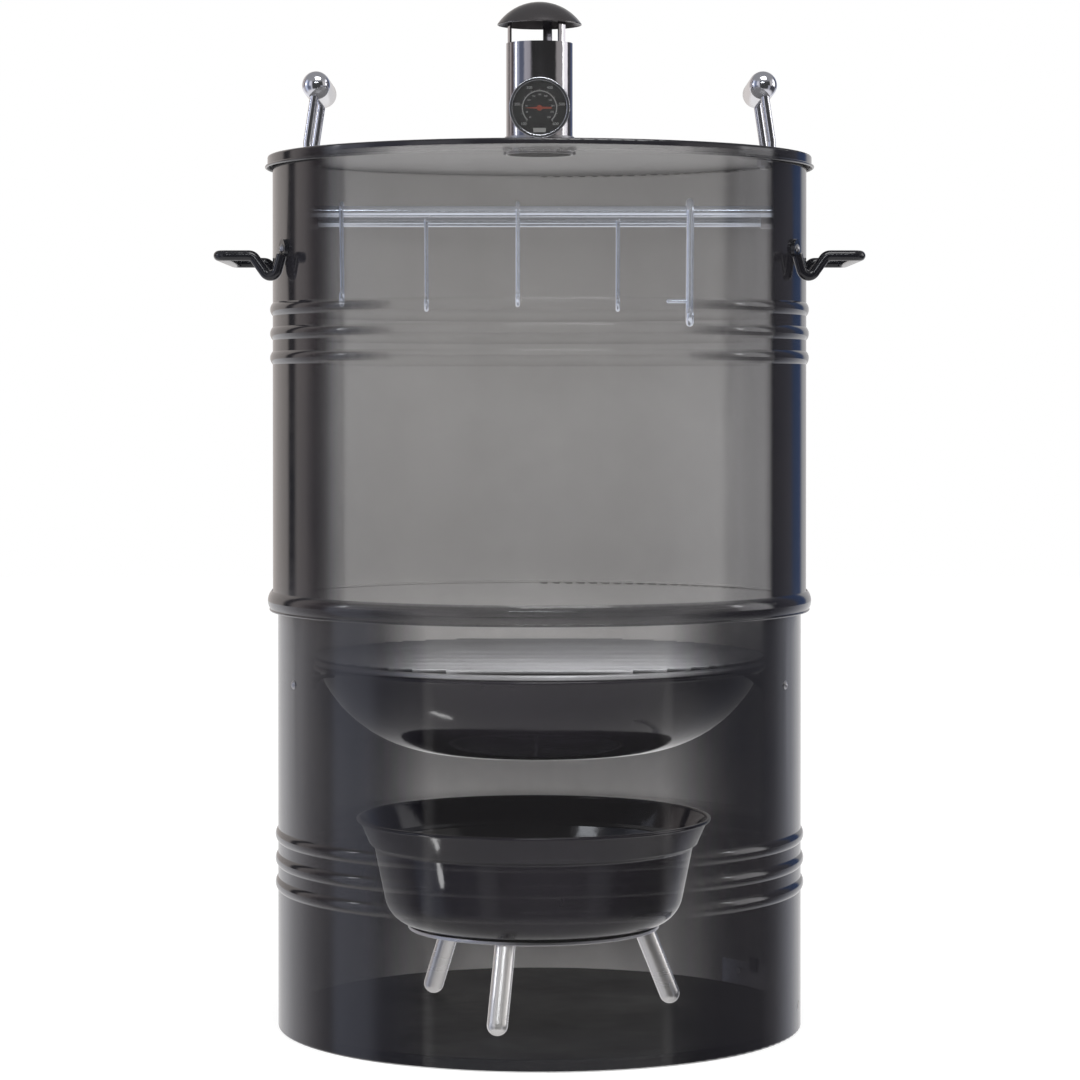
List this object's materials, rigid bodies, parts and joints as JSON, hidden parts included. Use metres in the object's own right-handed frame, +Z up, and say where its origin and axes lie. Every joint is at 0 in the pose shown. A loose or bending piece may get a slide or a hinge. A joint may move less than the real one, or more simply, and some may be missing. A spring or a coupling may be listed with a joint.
{
  "type": "vertical drum smoker",
  "caption": "Upright barrel smoker in two stacked sections with a lifting lid, chimney, dial thermometer, hanging bars with meat hooks, grate, drip pan and fire bowl.",
  "frame": {"origin": "centre of the base ring, on the ground", "axes": "+Z up along the barrel, -Y towards the thermometer side, +X to the right seen from the front"},
  "size_m": [0.688, 0.5924, 1.105],
  "materials": {
    "black_enamel": "gloss",
    "dark_steel": "satin",
    "chrome": "polished",
    "steel": "satin",
    "gunmetal": "polished",
    "dial_face": "satin",
    "needle_red": "satin",
    "clear_glass": "polished"
  },
  "bodies": {
    "lower_barrel": {"lower_shell": "black_enamel", "floor_plate": "dark_steel", "pan_bracket_bolts": "steel", "shutter_guide_1": "dark_steel", "shutter_guide_2": "dark_steel", "pan_bracket_1": "dark_steel", "pan_bracket_2": "dark_steel", "pan_bracket_3": "dark_steel", "pan_bracket_4": "dark_steel"},
    "air_shutter": {"shutter_strip": "steel", "shutter_knob": "chrome"},
    "fire_bowl_stand": {"fire_bowl": "black_enamel", "bowl_base_ring": "steel", "bowl_leg_1": "chrome", "bowl_leg_2": "chrome", "bowl_leg_3": "chrome", "bowl_leg_bolt_1": "steel", "bowl_leg_bolt_2": "steel", "bowl_leg_bolt_3": "steel"},
    "fire_grate_lift": {"fire_grate": "steel"},
    "drip_pan_lift": {"drip_pan": "black_enamel"},
    "cooking_grate_lift": {"cooking_grate": "chrome"},
    "upper_barrel": {"upper_shell": "black_enamel", "joint_hoop": "black_enamel", "side_handle_bolts": "steel", "side_handle_left": "black_enamel", "side_handle_right": "black_enamel", "bar_cradle_front_left": "steel", "bar_cradle_front_right": "steel", "bar_cradle_back_left": "steel", "bar_cradle_back_right": "steel"},
    "lid": {"lid_pan": "black_enamel", "lid_nuts": "steel", "lid_handle_rod_left": "chrome", "lid_handle_rod_right": "chrome", "lid_handle_grip_left": "chrome", "lid_handle_grip_right": "chrome", "chimney_flange": "gunmetal", "chimney_flange_bolts": "steel", "chimney_tube": "gunmetal", "chimney_hat": "gunmetal", "hat_strap_1": "gunmetal", "hat_strap_2": "gunmetal", "hat_strap_3": "gunmetal", "thermometer_case": "chrome", "thermometer_nut": "steel", "thermometer_dial": "dial_face", "thermometer_bezel": "chrome", "thermometer_glass": "clear_glass"},
    "needle": {"thermometer_needle": "needle_red"},
    "front_bar": {"hanging_bar_front": "chrome"},
    "back_bar": {"hanging_bar_back": "chrome"},
    "hook_one": {"hook_1": "chrome"},
    "hook_two": {"hook_2": "chrome"},
    "hook_three": {"hook_3": "chrome"},
    "hook_four": {"hook_4": "chrome"},
    "hook_five": {"hook_heavy": "chrome"}
  },
  "joints": [
    {"name": "shutter_turn", "type": "hinge", "parent": "lower_barrel", "child": "air_shutter", "pos_m": [0, 0, 0.028], "axis": [0, 0, 1], "range_deg": [0, 5.5]},
    {"name": "fire_bowl_up", "type": "slide", "parent": "lower_barrel", "child": "fire_bowl_stand", "axis": [0, 0, 1], "range_m": [0, 0.045]},
    {"name": "fire_grate_up", "type": "slide", "parent": "fire_bowl_stand", "child": "fire_grate_lift", "axis": [0, 0, 1], "range_m": [0, 0.09]},
    {"name": "drip_pan_up", "type": "slide", "parent": "lower_barrel", "child": "drip_pan_lift", "axis": [0, 0, 1], "range_m": [0, 0.2]},
    {"name": "cooking_grate_up", "type": "slide", "parent": "drip_pan_lift", "child": "cooking_grate_lift", "axis": [0, 0, 1], "range_m": [0, 0.1]},
    {"name": "upper_barrel_up", "type": "slide", "parent": "lower_barrel", "child": "upper_barrel", "axis": [0, 0, 1], "range_m": [0, 0.5]},
    {"name": "lid_up", "type": "slide", "parent": "upper_barrel", "child": "lid", "axis": [0, 0, 1], "range_m": [0, 0.3]},
    {"name": "needle_turn", "type": "hinge", "parent": "lid", "child": "needle", "pos_m": [0, -0.0445, 0.987], "axis": [0, 1, 0], "range_deg": [-45, 225]},
    {"name": "front_bar_up", "type": "slide", "parent": "upper_barrel", "child": "front_bar", "axis": [0, 0, 1], "range_m": [0, 0.03]},
    {"name": "back_bar_up", "type": "slide", "parent": "upper_barrel", "child": "back_bar", "axis": [0, 0, 1], "range_m": [0, 0.03]},
    {"name": "hook_one_swing", "type": "hinge", "parent": "front_bar", "child": "hook_one", "pos_m": [-0.208, -0.106, 0.873], "axis": [1, 0, 0], "range_deg": [-30, 30]},
    {"name": "hook_two_swing", "type": "hinge", "parent": "back_bar", "child": "hook_two", "pos_m": [-0.126, 0.106, 0.873], "axis": [1, 0, 0], "range_deg": [-30, 30]},
    {"name": "hook_three_swing", "type": "hinge", "parent": "front_bar", "child": "hook_three", "pos_m": [-0.023, -0.106, 0.873], "axis": [1, 0, 0], "range_deg": [-30, 30]},
    {"name": "hook_four_swing", "type": "hinge", "parent": "back_bar", "child": "hook_four", "pos_m": [0.087, 0.106, 0.873], "axis": [1, 0, 0], "range_deg": [-30, 30]},
    {"name": "hook_five_swing", "type": "hinge", "parent": "front_bar", "child": "hook_five", "pos_m": [0.158, -0.106, 0.873], "axis": [1, 0, 0], "range_deg": [-30, 30]}
  ]
}
